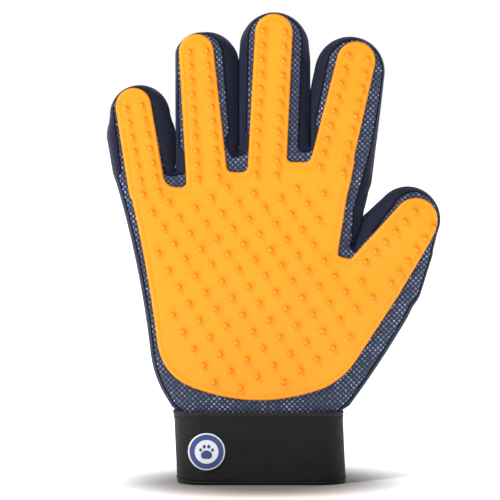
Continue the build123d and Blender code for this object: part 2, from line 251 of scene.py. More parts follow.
PLANES = [-41.3, -10.4, 24.6]              # between neighbouring fingers
WEB_Z = [152.7, 162.4, FINGERS_Z]
LITTLE_OUTER_X = -56.0                     # no inner corner lies beyond it
FINGERS = [
    Finger("little", [(-58.6, 179.8, 14.7), (-58.2, 170.0, 16.6), (-56.5, 155.0, 15.8)],
           [(-61.5, 184.4, 8.7), (-54.9, 144.0, 8.9)], [(-62.0, 182.6, 9.2), (-57.0, 153.2, 10.6)],
           ((-61.3, 183.7, 3.9), (-53.0, 142.1, 3.9)), 7, 0.0, (-FAR, PLANES[0]),
           [(-57.0, 152.5), (-57.0, 166.3)], (0.3, 6.8)),
    Finger("ring", [(-28.6, 207.6, 12.6), (-25.85, 205.3, 15.1), (-25.85, 150.0, 15.1)],
           [(-30.9, 210.8, 8.4), (-25.4, 145.0, 10.2)],
           [(-29.0, 208.9, 10.9), (-26.5, 162.9, 12.2)],
           ((-30.2, 210.6, 4.25), (-25.3, 149.3, 4.9)), 10, 0.0, (PLANES[0], PLANES[1]),
           [(-25.8, 166.3), (-25.8, 186.8)], (-3.6, 5.0)),
    Finger("middle", [(7.05, 213.4, 16.5), (7.1, 203.0, 17.4), (7.1, 150.0, 17.4)],
           [(6.7, 219.8, 9.1), (3.2, 150.0, 9.4)], [(7.3, 216.4, 13.0), (5.8, 162.9, 12.6)],
           ((6.7, 220.2, 5.2), (2.7, 151.0, 5.1)), 11, 0.0, (PLANES[1], PLANES[2]),
           [(7.0, 168.3), (7.0, 196.0)], (-3.7, 5.0)),
    Finger("index", [(43.9, 201.1, 17.0), (42.0, 188.0, 17.5), (39.6, 150.0, 15.3)],
           [(46.6, 206.2, 9.3), (33.1, 150.0, 10.2)],
           [(46.0, 202.8, 13.6), (43.6, 187.2, 14.2), (39.9, 167.8, 14.4), (36.5, 143.5, 13.4),
            (34.0, 126.4, 11.0)],
           ((47.3, 207.6, 5.0), (34.5, 153.4, 5.8)), 9, 0.0, (PLANES[2], FAR),
           [(42.0, 170.3), (42.0, 190.7)], (-4.6, 5.0)),
    Finger("thumb", [(72.2, 129.3, 15.8), (66.5, 115.0, 18.3), (60.5, 99.5, 19.5)],
           [(75.9, 128.5, 11.2), (55.2, 100.4, 14.7)], [(75.7, 130.4, 12.4), (63.5, 105.0, 18.5)],
           ((79.5, 129.3, 5.9), (57.5, 103.4, 8.1)), 6, 36.87, (-FAR, FAR),
           [(46.4, 115.7), (54.7, 126.7)], (3.0, 6.85)),
]


# ---- outlines and distances to them ----
def arc(a, m, b, steps=8):
    """Points from a towards b, through m."""
    a, m, b = np.array(a), np.array(m), np.array(b)
    k = np.hypot(*(m - a)) / (np.hypot(*(m - a)) + np.hypot(*(b - m)))
    t = np.linspace(0, 1, steps + 1)[:-1, None]
    curve = a * (t - k) * (t - 1) / k + m * t * (t - 1) / (k * (k - 1)) + b * t * (t - k) / (1 - k)
    return [tuple(p) for p in curve]


PALM_GUSSETS = ["outer_side_gusset", "index_side_gusset", "thumb_side_gusset",
                "web_little_ring", "web_ring_middle", "web_middle_index"]
PALM_OUTLINE = [
    *arc((-72.0, 152.7), (-60.6, 108.0), (-53.5, 62.7)),
    *arc((-53.5, 62.7), (-50.4, 50.5), (-43.9, 38.6)),
    (-43.2, 37.0), (-40.6, 35.3), (-39.3, 32.5), (-39.3, 5.0), (38.6, 5.0), (38.6, 32.5), (40.4, 35.3),
    *arc((44.0, 37.6), (57.8, 57.4), (72.6, 81.3)),
    (72.6, 81.3), (77.8, 92.6), (60.5, 99.5), (45.8, 116.3), (50.3, 130.8), (52.1, 137.6), (53.7, 145.0),
    (54.6, FINGERS_Z), *zip(PLANES[::-1], WEB_Z[::-1]),
]
THUMB_WEB = [(46.1, 115.9), (51.1, 131.1), (55.5, 135.3), (59.5, 139.0), (62.5, 141.5), (66.0, 128.0),
             (60.5, 99.5)]
SEAM_INSET = 2.2                           # from the palm's outline
WEB_DIP = 6.0                              # radius by which the seam goes round the foot of each web
WEB_DIP_UP = 4.6
THUMB_DIP = (49.6, 124.2, 5.1)
PAD_OUTLINE = [
    *arc((-63.8, 146.0), (-55.4, 105.5), (-49.7, 67.5)),
    *arc((-49.7, 67.5), (-43.9, 54.9), (-31.0, 46.7)),
    *arc((-31.0, 46.7), (0.0, 41.1), (31.6, 47.2), 14),
    *arc((31.6, 47.2), (41.7, 54.4), (48.1, 62.7)),
    (48.1, 62.7), (67.3, 92.2), (55.2, 100.4), (50.0, 105.0), (45.0, 109.8), (39.2, 111.1), (38.1, 111.8),
    (37.9, 113.0), (44.9, 157.1),
    (3.3, 157.1), (3.3, 152.2), (-25.6, 152.2), (-25.6, 144.9), (-50.0, 144.9),
]


def to_segment(x, z, ax, az, bx, bz):
    """How far along the segment its nearest point is, from 0 to 1, and the distance to it."""
    ex, ez = bx - ax, bz - az
    h = np.clip(((x - ax) * ex + (z - az) * ez) / (ex * ex + ez * ez), 0, 1)
    return h, np.hypot(x - ax - h * ex, z - az - h * ez)


def capsule_field(x, z, circles):
    """Field of circles strung together."""
    best = np.full(x.shape, -FAR)
    for (ax, az, ar), (bx, bz, br) in zip(circles, circles[1:]):
        h, away = to_segment(x, z, ax, az, bx, bz)
        best = np.maximum(best, ar + (br - ar) * h - away)
    return best


def polygon_field(x, z, corners):
    near = np.full(x.shape, FAR)
    inside = np.zeros(x.shape, bool)
    for (ax, az), (bx, bz) in zip(corners, corners[1:] + corners[:1]):
        near = np.minimum(near, to_segment(x, z, ax, az, bx, bz)[1])
        if bz != az:
            inside ^= ((az > z) != (bz > z)) & (x < ax + (bx - ax) * (z - az) / (bz - az))
    return np.where(inside, near, -near)


def joined(a, b, soft):
    """The two shapes together, their inner corners rounded."""
    h = np.clip(soft - np.abs(a - b), 0, None) / soft
    return np.maximum(a, b) + h * h * soft / 4


def smooth(t):
    t = np.clip(t, 0, 1)
    return t * t * (3 - 2 * t)


def glove_field(x, z):
    fingers = np.full(x.shape, -FAR)
    for finger in FINGERS:
        own = capsule_field(x, z, finger.fabric)
        if finger.name == "thumb":
            own = np.minimum(np.maximum(own, polygon_field(x, z, THUMB_WEB)), past_crease(x, z) - GAP)
        else:
            left, right = finger.sides
            own = np.minimum(own, np.minimum(x - left - GAP, right - GAP - x))
        fingers = np.maximum(fingers, own)
    soft = 0.3 + 2.3 * smooth((x - LITTLE_OUTER_X) / 12) * smooth((40 - x) / 8)
    return joined(polygon_field(x, z, PALM_OUTLINE), fingers, soft)


def pad_field(x, z):
    field = polygon_field(x, z, PAD_OUTLINE)
    for finger in FINGERS:
        soft = {"little": 6.0, "thumb": 1.3}.get(finger.name, 3.2)
        soft = 0.2 + (soft - 0.2) * smooth((x - LITTLE_OUTER_X) / 8) * smooth((58 - x) / 6)
        field = joined(field, capsule_field(x, z, finger.pad), soft)
    return field


def seam_field(x, z):
    """Inside where the front is mesh, outside where it is gusset, which dips at each web."""
    field = polygon_field(x, z, PALM_OUTLINE) - SEAM_INSET
    for finger in FINGERS:
        field = joined(field, capsule_field(x, z, finger.seam), 3.0)
    for plane, web in zip(PLANES, WEB_Z):
        field = np.minimum(field, np.hypot(x - plane, (z - web - WEB_DIP_UP) * 0.9) - WEB_DIP)
    dip_x, dip_z, dip_r = THUMB_DIP
    field = np.minimum(field, np.hypot(x - dip_x, z - dip_z) - dip_r)
    index_side = 45.3 + 0.28 * np.maximum(z - 133, 0) - x
    field = np.minimum(field, np.where((past_crease(x, z) < 0) & (z > 124), index_side, FAR))
    return np.minimum(field, glove_field(x, z) - 1.5)


def box_field(low, high, corner):
    """Field of a rectangle with rounded corners."""
    middle = (np.array(low) + high) / 2
    half = (np.array(high) - low) / 2 - corner

    def field(x, z):
        dx = np.abs(x - middle[0]) - half[0]
        dz = np.abs(z - middle[1]) - half[1]
        outside = np.hypot(np.maximum(dx, 0), np.maximum(dz, 0))
        return corner - outside - np.minimum(np.maximum(dx, dz), 0)
    return field


# ---- from a distance field to meshes ----
# Which sides of a grid cell a contour joins (0 low, 1 right, 2 high, 3 left), by the corners inside.
CELL_LINES = {1: [(0, 3)], 2: [(1, 0)], 3: [(1, 3)], 4: [(2, 1)], 5: [(0, 3), (2, 1)], 6: [(2, 0)],
              7: [(2, 3)], 8: [(3, 2)], 9: [(0, 2)], 10: [(1, 0), (3, 2)], 11: [(1, 2)], 12: [(3, 1)],
              13: [(0, 1)], 14: [(3, 0)]}


class Grid:
    """A field's values on a square grid, from which its contours are drawn."""

    def __init__(self, field, low, high, step):
        self.xs = np.arange(low[0], high[0] + step / 2, step)
        self.zs = np.arange(low[1], high[1] + step / 2, step)
        gx, gz = np.meshgrid(self.xs, self.zs)
        self.values = field(gx, gz)

    def contours(self, level):
        """Lines where the field is at the level, each as (points, whether it is a loop)."""
        v = self.values - level
        v[np.abs(v) < 1e-7] = 1e-7
        inside = v > 0
        codes = inside[:-1, :-1] + 2 * inside[:-1, 1:] + 4 * inside[1:, 1:] + 8 * inside[1:, :-1]
        after = {}
        for i, j in zip(*np.nonzero((codes > 0) & (codes < 15))):
            edges = [(0, i, j), (1, i, j + 1), (0, i + 1, j), (1, i, j)]
            for a, b in CELL_LINES[int(codes[i, j])]:
                after[edges[a]] = edges[b]
        starts = [key for key in after if key not in set(after.values())]
        lines = []
        while after:
            key = starts.pop() if starts else next(iter(after))
            chain = [key]
            while key in after:
                key = after.pop(key)
                chain.append(key)
            closed = chain[0] == chain[-1]
            points = np.array([self.crossing(v, *edge) for edge in chain])
            lines.append((points[:-1] if closed else points, closed))
        return lines

    def crossing(self, v, kind, i, j):
        """Where the level crosses a grid edge that runs along x (kind 0) or z (kind 1)."""
        i2, j2 = (i + 1, j) if kind else (i, j + 1)
        t = v[i, j] / (v[i, j] - v[i2, j2])
        return (self.xs[j] + t * (self.xs[j2] - self.xs[j]), self.zs[i] + t * (self.zs[i2] - self.zs[i]))


def resample(points, closed, spacing):
    """The same line with evenly spaced points."""
    if closed:
        points = np.vstack([points, points[:1]])
    lengths = np.concatenate([[0], np.cumsum(np.hypot(*np.diff(points, axis=0).T))])
    count = max(3, int(round(lengths[-1] / spacing)))
    at = np.linspace(0, lengths[-1], count + 1)
    at = at[:-1] if closed else at
    return np.column_stack([np.interp(at, lengths, points[:, 0]), np.interp(at, lengths, points[:, 1])])


def circle(x, z, r, sides, turn=0.0):
    a = np.arange(sides) * 2 * math.pi / sides + turn
    return np.column_stack([x + r * np.cos(a), z + r * np.sin(a)])


def triangulate(field, lines, spacing, low, high, loose=(), keep_clear=0.62):
    """Triangles over the inside of the field, with the lines as edges.  lines are (points, closed)."""
    points = []
    edges = []
    for line, closed in lines:
        first = len(points)
        points += [tuple(p) for p in line]
        edges += [(k, k + 1) for k in range(first, len(points) - 1)]
        if closed:
            edges.append((len(points) - 1, first))
    points += [tuple(p) for p in loose]
    away = nearest(points)
    columns = np.arange(low[0], high[0], spacing)
    rows = np.arange(low[1], high[1], spacing * 0.866)
    gx, gz = np.meshgrid(columns, rows)
    gx[1::2] += spacing / 2
    inner = field(gx, gz) > spacing * 0.5
    for x, z in zip(gx[inner], gz[inner]):
        if away(x, z) > spacing * keep_clear:
            points.append((x, z))
    done = delaunay_2d_cdt([Vector(p) for p in points], edges, [], 0, 1e-5)
    xz = np.array([tuple(v) for v in done[0]])
    triangles = np.array(done[2])
    middle = xz[triangles].mean(axis=1)
    triangles = triangles[field(middle[:, 0], middle[:, 1]) > 0]
    used, triangles = np.unique(triangles, return_inverse=True)
    return xz[used], triangles.reshape(-1, 3)


def rows_inside(grid, rows):
    """Contours at several distances inside an outline, as lines for triangulate."""
    return [(resample(p, closed, spacing), closed)
            for level, spacing in rows for p, closed in grid.contours(level)]


def nearest(places):
    """A function that gives the distance from each point to the nearest place."""
    tree = kdtree.KDTree(len(places))
    for k, (x, z) in enumerate(places):
        tree.insert((x, z, 0), k)
    tree.balance()
    return lambda x, z: tree.find((x, z, 0))[2]


def rim_edges(triangles):
    """Edges with a face on one side only, in the direction of that face."""
    sides = set()
    for a, b, c in triangles:
        sides.update(((a, b), (b, c), (c, a)))
    return [(a, b) for a, b in sides if (b, a) not in sides]


def new_object(name, data):
    obj = bpy.data.objects.new(name, data)
    bpy.context.scene.collection.objects.link(obj)
    return obj


def make_mesh(name, points, faces, uv, skin, shade=None, crease=42.0):
    """points in mm; uv per point in mm; the optional painted shade is a number from 0 to 1 for each point."""
    mesh = bpy.data.meshes.new(name)
    mesh.from_pydata((np.asarray(points, float) * MM).tolist(), [], [list(map(int, f)) for f in faces])
    corner_points = np.zeros(len(mesh.loops), int)
    mesh.loops.foreach_get("vertex_index", corner_points)
    layer = mesh.uv_layers.new(name="rest")
    layer.data.foreach_set("uv", np.asarray(uv, float)[corner_points].astype(np.float32).ravel())
    # painted shade kept as a point attribute for the silicone's colour
    if shade is not None:
        layer = mesh.attributes.new("shade", "FLOAT", "POINT")
        layer.data.foreach_set("value", np.asarray(shade, np.float32))
    mesh.polygons.foreach_set("use_smooth", np.ones(len(mesh.polygons), bool))
    mesh.set_sharp_from_angle(angle=math.radians(crease))
    mesh.materials.append(skin)
    mesh.update()
    return new_object(name, mesh)


def rounded_rim(d, radius):
    """How far a rounded edge lies back, at this distance inside the outline."""
    return radius * (1 - np.sqrt(1 - (1 - np.clip(d / radius, 0, 1)) ** 2))


def close_sheet(outer, inner, triangles):
    """Closed surface between two sheets that share their triangles."""
    used, local = np.unique(np.asarray(triangles), return_inverse=True)
    local = local.reshape(-1, 3)
    count = len(used)
    faces = [tuple(t) for t in local] + [tuple(t[::-1] + count) for t in local]
    faces += [(b, a, a + count, b + count) for a, b in rim_edges(local)]
    return np.vstack([outer[used], inner[used]]), faces, used


def settle(piece, body, slot, *nodes):
    """Puts a stiff piece on its body, in place of these CAD nodes."""
    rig.ride(piece, body)
    if nodes:
        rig.replaces(piece, *nodes)
    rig.slot(piece, slot)


def ring_faces(count, sides, closed):
    """Faces between neighbouring rings of points, with a cap at each end unless the rings close."""
    faces = []
    for k in range(count if closed else count - 1):
        a, b = k * sides, (k + 1) % count * sides
        faces += [(a + m, a + (m + 1) % sides, b + (m + 1) % sides, b + m) for m in range(sides)]
    if not closed:
        faces += [tuple(range(sides))[::-1], tuple(range((count - 1) * sides, count * sides))]
    return faces


def tube(path, radius, sides=6):
    """Points and faces of a capped tube along a 3-D path."""
    ahead = np.roll(path, -1, axis=0) - np.roll(path, 1, axis=0)
    ahead[0] = path[1] - path[0]
    ahead[-1] = path[-1] - path[-2]
    ahead /= np.maximum(np.linalg.norm(ahead, axis=1), 1e-9)[:, None]
    side = np.cross(ahead, (0.0, 1.0, 0.0))
    side /= np.maximum(np.linalg.norm(side, axis=1), 1e-9)[:, None]
    rise = np.cross(side, ahead)
    angles = np.arange(sides) * 2 * math.pi / sides
    rings = [path + radius * (math.cos(a) * side + math.sin(a) * rise) for a in angles]
    points = np.stack(rings, axis=1).reshape(-1, 3)
    return points, ring_faces(len(path), sides, False)


def sewing(name, tubes, skin, slot, along=(1, 0, 1), across=(0, 1, 0)):
    """Several tubes as one piece; its texture runs along and across these directions."""
    faces = []
    total = 0
    for tube_points, tube_faces in tubes:
        faces += [tuple(k + total for k in face) for face in tube_faces]
        total += len(tube_points)
    points = np.vstack([tube_points for tube_points, _ in tubes])
    piece = make_mesh(name, points, faces, np.column_stack([points @ along, points @ across]), skin)
    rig.slot(piece, slot)
    return piece


# ---- materials ----
class Shader:
    """A material, with short ways to add nodes to it."""

    def __init__(self, name):
        self.material = bpy.data.materials.new(name)
        self.material.use_nodes = True
        self.nodes = self.material.node_tree.nodes
        self.links = self.material.node_tree.links
        self.surface = self.nodes["Principled BSDF"]

    def feed(self, socket, value):
        if isinstance(value, bpy.types.NodeSocket):
            self.links.new(value, socket)
        elif socket.type == "RGBA":
            socket.default_value = (*value, 1)
        else:
            socket.default_value = value

    def add(self, kind, inputs=(), **settings):
        node = self.nodes.new("ShaderNode" + kind)
        for key, value in settings.items():
            setattr(node, key, value)
        for key, value in dict(inputs).items():
            self.feed(node.inputs[key], value)
        return node

    def math(self, operation, a, b=0.0):
        return self.add("Math", {0: a, 1: b}, operation=operation).outputs[0]

    def ramp(self, value, low, high, to_low=0.0, to_high=1.0):
        inputs = {0: value, 1: low, 2: high, 3: to_low, 4: to_high}
        return self.add("MapRange", inputs, interpolation_type="SMOOTHSTEP").outputs[0]

    def blend(self, amount, a, b):
        return self.add("Mix", {0: amount, 6: a, 7: b}, data_type="RGBA").outputs[2]

    def rest(self):
        """The point's place on the unbent surface, in mm, as a vector and its two parts."""
        vector = self.add("UVMap", uv_map="rest").outputs[0]
        parts = self.add("SeparateXYZ", {0: vector}).outputs
        return vector, parts[0], parts[1]

    def noise(self, vector, size, detail=2.0):
        return self.add("TexNoise", {"Vector": vector, "Scale": 1 / size, "Detail": detail}).outputs[0]

    def wave(self, value, pitch):
        """0 to 1 and back, once for each pitch."""
        return self.ramp(self.math("SINE", self.math("MULTIPLY", value, 2 * math.pi / pitch)), -1.0, 1.0)

    def finish(self, colour, roughness, height, depth, **sockets):
        self.feed(self.surface.inputs["Base Color"], colour)
        self.feed(self.surface.inputs["Roughness"], roughness)
        if height is not None:
            bump = self.add("Bump", {"Height": height, "Distance": depth * MM, "Strength": 1.0})
            self.links.new(bump.outputs[0], self.surface.inputs["Normal"])
        for key, value in sockets.items():
            self.feed(self.surface.inputs[key.replace("_", " ")], value)
        return self.material


def silicone():
    """Orange silicone, darkened by painted shade round its nubs, in its groove and along its rim."""
    s = Shader("pad_silicone")
    place, _, _ = s.rest()
    shade = s.add("Attribute", attribute_name="shade", attribute_type="GEOMETRY").outputs["Fac"]
    cloud = s.noise(place, 26.0)
    base = s.blend(cloud, (1.0, 0.315, 0.002), (1.0, 0.365, 0.005))
    # painted shade: the point attribute turns the orange deeper
    base = s.blend(shade, base, (0.90, 0.20, 0.0))
    grain = s.noise(place, 0.55, 3.0)
    rough = s.ramp(s.noise(place, 5.0), 0.3, 0.7, 0.4, 0.5)
    return s.finish(base, rough, grain, 0.018, Subsurface_Weight=0.08, Subsurface_Scale=0.0012,
                    Subsurface_Radius=(1.0, 0.45, 0.12), IOR=1.43)


def mesh_knit():
    """Navy warp knit with loops on a diamond grid; the loops' pale colour is a painted highlight on their gloss."""
    s = Shader("mesh_navy")
    place, u, v = s.rest()
    diagonal = 1.85 * 1.414
    turned = [s.math("DIVIDE", s.math(way, u, v), diagonal) for way in ("ADD", "SUBTRACT")]
    near = [s.math("SUBTRACT", s.math("FRACT", side), 0.5) for side in turned]
    squares = [s.math("MULTIPLY", side, side) for side in near]
    away = s.math("SQRT", s.math("ADD", *squares))
    loop = s.ramp(away, 0.36, 0.16)
    hole = s.ramp(away, 0.44, 0.56)
    patchy = s.math("MULTIPLY", s.ramp(s.noise(place, 2.6, 3.0), 0.36, 0.66, 0.1, 1.0),
                    s.ramp(s.noise(place, 12.0), 0.38, 0.62, 0.3, 1.0))
    ground = s.blend(s.noise(place, 0.4, 3.0), (0.010, 0.016, 0.044), (0.028, 0.043, 0.10))
    ground = s.blend(hole, ground, (0.004, 0.006, 0.018))
    # painted highlight: the loops painted pale blue, in random patches
    colour = s.blend(s.math("MULTIPLY", loop, patchy), ground, (0.36, 0.47, 0.74))
    height = s.math("SUBTRACT", loop, hole)
    return s.finish(colour, 0.62, height, 0.22, Sheen_Weight=0.25, Sheen_Roughness=0.45,
                    Sheen_Tint=(0.45, 0.55, 0.85))


def rib_knit(name, dark, light, pitch, sheen=0.35):
    """Fine ribs across u, with the stitches of each rib along v."""
    s = Shader(name)
    place, u, v = s.rest()
    wander = s.math("MULTIPLY", s.noise(place, 14.0), 0.9)
    rib = s.wave(s.math("ADD", u, wander), pitch)
    stitch = s.wave(s.math("ADD", v, s.math("MULTIPLY", rib, 0.3)), pitch * 0.8)
    mask = s.math("MULTIPLY", rib, s.ramp(stitch, 0.0, 1.0, 0.45, 1.0))
    worn = s.ramp(s.noise(place, 9.0, 3.0), 0.3, 0.7, 0.55, 1.0)
    colour = s.blend(s.math("MULTIPLY", mask, worn), dark, light)
    return s.finish(colour, 0.7, mask, 0.16, Sheen_Weight=sheen, Sheen_Roughness=0.4,
                    Specular_IOR_Level=0.3, Sheen_Tint=(0.42, 0.52, 0.85))


def elastic(name, dark, light, pitch):
    """Woven elastic: ribs across v, crossed by the fine warp along u."""
    s = Shader(name)
    place, u, v = s.rest()
    rib = s.wave(v, pitch)
    row = s.math("FLOOR", s.math("DIVIDE", v, pitch))
    warp = s.wave(s.math("ADD", u, s.math("MULTIPLY", row, 0.45)), 0.9)
    cloud = s.noise(place, 12.0, 3.0)
    mask = s.math("MULTIPLY", rib, s.ramp(warp, 0.0, 1.0, 0.5, 1.0))
    colour = s.blend(s.math("MULTIPLY", mask, s.ramp(cloud, 0.3, 0.7, 0.6, 1.0)), dark, light)
    return s.finish(colour, s.ramp(cloud, 0.3, 0.7, 0.62, 0.74), mask, 0.1, Sheen_Weight=0.06,
                    Sheen_Roughness=0.5, Specular_IOR_Level=0.32)


def fuzzy(name, dark, light, size, depth):
    """Brushed lining, loop pile or hooks."""
    s = Shader(name)
    place = s.rest()[0]
    cells = s.add("TexVoronoi", {"Vector": place, "Scale": 1 / size}).outputs["Distance"]
    cloud = s.noise(place, 4.0, 4.0)
    colour = s.blend(s.math("MULTIPLY", cells, cloud), dark, light)
    return s.finish(colour, 0.85, s.math("ADD", cells, cloud), depth, Sheen_Weight=0.3, Sheen_Roughness=0.6)


def thread(name, dark, light, pitch=0.6, rough=0.8, **sockets):
    s = Shader(name)
    _, along, _ = s.rest()
    twist = s.wave(along, pitch)
    return s.finish(s.blend(twist, dark, light), rough, twist, 0.05, **sockets)


def print_layer(name, colour, worn):
    """Rubbery transfer print, a little worn."""
    s = Shader(name)
    place, _, _ = s.rest()
    speck = s.ramp(s.noise(place, 0.8, 4.0), 0.6, 0.75)
    return s.finish(s.blend(speck, colour, worn), 0.42, s.noise(place, 0.35, 3.0), 0.02, Coat_Weight=0.15)


SILICONE = silicone()
STITCH = thread("pad_stitch", (0.90, 0.30, 0.004), (1.0, 0.42, 0.012), 0.7, 0.55)
MESH = mesh_knit()
GUSSET = rib_knit("gusset_navy", (0.002, 0.003, 0.013), (0.010, 0.015, 0.05), 0.95, 0.2)
KNIT = rib_knit("knit_navy", (0.005, 0.008, 0.028), (0.024, 0.035, 0.088), 1.3)
MATT = {"Sheen_Weight": 0.05, "Sheen_Roughness": 0.5, "Specular_IOR_Level": 0.12}
PIPING = thread("seam_piping", (0.001, 0.0015, 0.006), (0.003, 0.005, 0.018), **MATT)
ELASTIC = elastic("elastic_black", (0.002, 0.002, 0.0022), (0.009, 0.009, 0.0095), 1.05)
WEBBING = elastic("strap_black", (0.006, 0.006, 0.007), (0.034, 0.034, 0.036), 1.5)
BINDING = elastic("binding_black", (0.005, 0.005, 0.006), (0.026, 0.026, 0.028), 0.7)
LINING = fuzzy("lining_black", (0.008, 0.008, 0.009), (0.04, 0.04, 0.042), 0.8, 0.1)
LOOP_PILE = fuzzy("loop_black", (0.006, 0.006, 0.007), (0.06, 0.06, 0.064), 0.7, 0.35)
HOOKS = fuzzy("hook_black", (0.008, 0.008, 0.009), (0.05, 0.05, 0.053), 0.55, 0.3)
BLACK_THREAD = thread("black_thread", (0.006, 0.006, 0.007), (0.028, 0.028, 0.03), **MATT)
PRINT_WHITE = print_layer("badge_white", (0.80, 0.82, 0.85), (0.62, 0.66, 0.72))
PRINT_BLUE = print_layer("badge_blue", (0.018, 0.05, 0.22), (0.05, 0.09, 0.30))


# ---- which body each place moves with ----
def part_at(x, z, zone):
    """0 for the palm, then two for each finger: its root stretch and its tip stretch."""
    label = np.zeros(np.shape(x), int)
    for k, finger in enumerate(FINGERS):
        s = finger.reach(x, z)
        mine = finger.owns(x, z) & (s > finger.folds(zone)[0][0])
        label = np.where(mine, np.where(s < finger.bend / 2, 2 * k + 1, 2 * k + 2), label)
    return label


LABELS = range(2 * len(FINGERS) + 1)


def part_name(label):
    if label == 0:
        return "palm"
    return FINGERS[(label - 1) // 2].name + ("_root" if label % 2 else "_tip")


def attach(obj, label, zone):
    """Rides the palm, or bends across the fold at the foot of its stretch."""
    if label == 0:
        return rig.ride(obj, "palm")
    finger = FINGERS[(label - 1) // 2]
    start, end = finger.folds(zone)[0 if label % 2 else 1]
    ends = []
    for s in (start, end):
        x, z = finger.hinges[0] + s * finger.along
        ends.append((x * MM, PAD_FRONT_Y * MM, z * MM))
    low_body = "palm" if label % 2 else finger.name + "_root"
    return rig.blend(obj, low_body, part_name(label), *ends)


def fold_lines(field, zone, spacing):
    """Lines across the fingers that give each fold its rows of points, and where the pieces part."""
    lines = []
    for finger in FINGERS:
        (a, b), (c, d) = finger.folds(zone)
        t = np.arange(-32.0, 32.0, spacing)
        for s in [*np.linspace(a, b, 6), finger.bend / 2, *np.linspace(c, d, 6)]:
            x = finger.hinges[0][0] + s * finger.along[0] + t * finger.across[0]
            z = finger.hinges[0][1] + s * finger.along[1] + t * finger.across[1]
            good = (field(x, z) > spacing * 0.35) & finger.owns(x, z)
            for run in np.split(np.arange(len(t)), np.nonzero(np.diff(good.astype(int)))[0] + 1):
                if good[run[0]] and len(run) > 1:
                    lines.append((np.column_stack([x[run], z[run]]), False))
    return lines


# ---- fabric ----
def ripple(x, z, size, seed):
    return np.array([noise.noise(Vector((a / size, seed, b / size))) for a, b in zip(x, z)])


def sway(x, z):
    """How far the whole front lies behind its flat plane: a slight curve at the sides and soft waves."""
    return 1.6 * (x / 80) ** 2 + 0.45 * ripple(x, z, 34.0, 3.0)


def full(t, power):
    """From 0 at the glove's edge to 1, steeply at first: the filled glove's fullness."""
    return (1 - (1 - np.clip(t, 0, 1)) ** power) ** (1 / power)


def front_y(x, z):
    d = np.maximum(glove_field(x, z), 0)
    beside_pad = np.maximum(-pad_field(x, z), 0)
    width = 8.5 + 5 * smooth((150 - z) / 60)
    t = np.maximum(d / (d + beside_pad + 1e-6), np.minimum(1, d / width))
    pucker = 0.3 * ripple(x, z, 7.0, 11.0) * smooth(beside_pad / 2.5) * smooth(d / 2)
    return SIDE_Y + (FRONT_Y - SIDE_Y) * full(t, 2.3) + sway(x, z) * smooth(d / 8) + pucker


def back_y(x, z):
    d = np.maximum(glove_field(x, z), 0)
    part_way = (z - WRIST_Z) / (FINGERS_Z - WRIST_Z)
    flat = WRIST_BACK_Y + part_way * (FINGER_BACK_Y - WRIST_BACK_Y)
    flat = np.minimum(np.maximum(flat, FINGER_BACK_Y), PALM_BACK_Y)
    low_palm = smooth((150 - z) / 70)
    wave = 0.8 * ripple(x, z, 26.0, 7.0) + 0.35 * ripple(x, z, 9.0, 5.0)
    t = d / (10.5 + 7 * low_palm)
    return SIDE_Y + (flat - SIDE_Y) * full(t, 2.15) + wave * smooth(d / 7) * smooth((z - 36) / 12)


def pull(off):
    """How far a point this far from the middle of a gap moves towards it."""
    return CLOSE * np.clip(off / GAP, -1, 1) * smooth(1 - (np.abs(off) - GAP) / 3.5)


def close_gaps(x, z):
    """Brings neighbouring fingers together, and the thumb to the index side along the crease."""
    moved = x.copy()
    for plane in PLANES:
        moved -= pull(x - plane) * smooth((z - 148) / 4)
    (_, low), (_, high) = CREASE
    along = smooth((z - low + 3) / 2) * smooth((high + 2 - z) / 2.5)
    along = along * (1 + 0.6 * smooth((low + 3.6 - z) / 2))
    return moved - pull(past_crease(x, z)) * along


def point_normals(points, triangles):
    normals = np.zeros(points.shape)
    a, b, c = points[triangles].swapaxes(0, 1)
    face_normals = np.cross(b - a, c - a)
    for k in range(3):
        np.add.at(normals, triangles[:, k], face_normals)
    return normals / np.maximum(np.linalg.norm(normals, axis=1), 1e-9)[:, None]


